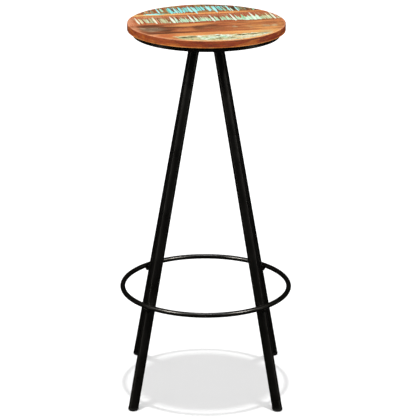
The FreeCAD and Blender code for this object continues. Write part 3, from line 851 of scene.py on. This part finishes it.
CAMERA_PLACE = (0.0, -3.781, 1.651)
CAMERA_PITCH = math.radians(18.611)
CAMERA_YAW = math.radians(0.063)
CAMERA_ROLL = math.radians(0.186)
CAMERA_LENS = 171.75
SENSOR = 36.0


def camera():
    """The camera at the front, a little above the seat and looking down."""
    data = bpy.data.cameras.new("camera")
    data.lens, data.sensor_width = CAMERA_LENS, SENSOR
    data.clip_start, data.clip_end = 0.1, 100
    lens = bpy.data.objects.new("camera", data)
    turn = Matrix.Rotation(-CAMERA_YAW, 4, "Z") @ Matrix.Rotation(math.pi / 2 - CAMERA_PITCH, 4, "X")
    lens.matrix_world = Matrix.Translation(CAMERA_PLACE) @ turn @ Matrix.Rotation(CAMERA_ROLL, 4, "Z")
    bpy.context.scene.collection.objects.link(lens)
    bpy.context.scene.camera = lens


def softbox(name, place, target, size, power):
    """A rectangular light that faces a point and shows only in the gloss."""
    data = bpy.data.lights.new(name, "AREA")
    data.shape, data.energy, data.color = "RECTANGLE", power, WARM_WHITE
    data.size, data.size_y = size
    lamp = bpy.data.objects.new(name, data)
    lamp.location = place
    lamp.rotation_euler = (Vector(target) - Vector(place)).to_track_quat("-Z", "Y").to_euler()
    lamp.visible_diffuse = False
    bpy.context.scene.collection.objects.link(lamp)


def lamps():
    """On each side, a small high lamp for the ring's gleam and a tall dim strip for the tubes' edges."""
    for side in (-1, 1):
        softbox("gleam", (1.7 * side, -1.2, 2.2), (0, 0, 0.2), size=(0.6, 0.3), power=90)
        softbox("strip", (2.5 * side, -0.7, 0.4), (0, 0, 0.4), size=(0.15, 1.4), power=1.6)


def sun():
    """Light straight from above, which puts the seat's shadow between the feet."""
    data = bpy.data.lights.new("sun", "SUN")
    data.energy, data.angle = SUN_POWER, SUN_SPREAD
    lamp = bpy.data.objects.new("sun", data)
    bpy.context.scene.collection.objects.link(lamp)


def floor():
    """A wide pale floor."""
    bm = bmesh.new()
    bmesh.ops.create_circle(bm, cap_ends=True, radius=30, segments=96)
    mesh = bpy.data.meshes.new("floor")
    bm.to_mesh(mesh)
    bm.free()
    ground = bpy.data.objects.new("floor", mesh)
    bpy.context.scene.collection.objects.link(ground)
    m = Nodes("floor")
    m.surface("Base Color", (0.93, 0.93, 0.93, 1))
    m.surface("Roughness", 0.9)
    m.surface("Specular IOR Level", 0.0)
    mesh.materials.append(m.material)
    ground.visible_glossy = False            # the black tubes would mirror its white


def surroundings():
    """White behind the object, and even light from all round that the gloss hardly shows."""
    world = bpy.data.worlds.new("studio")
    world.use_nodes = True
    tree = world.node_tree
    tree.nodes.clear()
    path = tree.nodes.new("ShaderNodeLightPath")
    backdrop = tree.nodes.new("ShaderNodeBackground")
    lit = tree.nodes.new("ShaderNodeBackground")
    for background in (backdrop, lit):
        background.inputs["Color"].default_value = (1, 1, 1, 1)
    dim = tree.nodes.new("ShaderNodeMapRange")
    dim.inputs["To Min"].default_value = AMBIENT
    dim.inputs["To Max"].default_value = AMBIENT_IN_GLOSS
    tree.links.new(path.outputs["Is Glossy Ray"], dim.inputs["Value"])
    tree.links.new(dim.outputs["Result"], lit.inputs["Strength"])
    mix = tree.nodes.new("ShaderNodeMixShader")
    out = tree.nodes.new("ShaderNodeOutputWorld")
    tree.links.new(path.outputs["Is Camera Ray"], mix.inputs[0])
    tree.links.new(lit.outputs[0], mix.inputs[1])
    tree.links.new(backdrop.outputs[0], mix.inputs[2])
    tree.links.new(mix.outputs[0], out.inputs["Surface"])
    scene = bpy.context.scene
    scene.world = world
    scene.view_settings.view_transform = "Standard"
    scene.view_settings.look = "None"


# ---------------------------------------------------------------- the stool

def dress_frame():
    """Materials for the CAD parts that keep their shape."""
    by_slot = {
        "black_steel": black_coat("black_coat", COAT_COLOUR, (0.26, 0.34), 900.0, 0.00006),
        "black_plastic": black_coat("black_plastic", PLASTIC_COLOUR, (0.5, 0.62), 1400.0, 0.00008, 0.4),
        "zinc_steel": plated("zinc", ZINC_COLOUR, (0.28, 0.42)),
        "insert_steel": plated("insert_plate", INSERT_COLOUR, (0.32, 0.46)),
        "dowel_wood": dowel_material(),
    }
    for part in frame["record"]["subparts"]:
        material = by_slot.get(part["material_slot"])
        if material:
            node = NODES[part["node"]]
            node.data.materials.clear()
            node.data.materials.append(material)


def main():
    """Sets the stage, gives the CAD parts their materials and makes the welds and boards."""
    surroundings()
    floor()
    camera()
    sun()
    lamps()
    dress_frame()
    weld = black_coat("black_weld", COAT_COLOUR, (0.26, 0.36), 500.0, 0.0001)
    for corner in CORNERS:
        finish_piece(weld_bead("leg_weld_" + corner, True), weld)
        finish_piece(weld_bead("footrest_weld_" + corner, False), weld)
    for k, name in enumerate(BOARDS):
        piece = board(name, seed=100 + 20 * k)
        finish_piece(piece, board_material(name))


main()
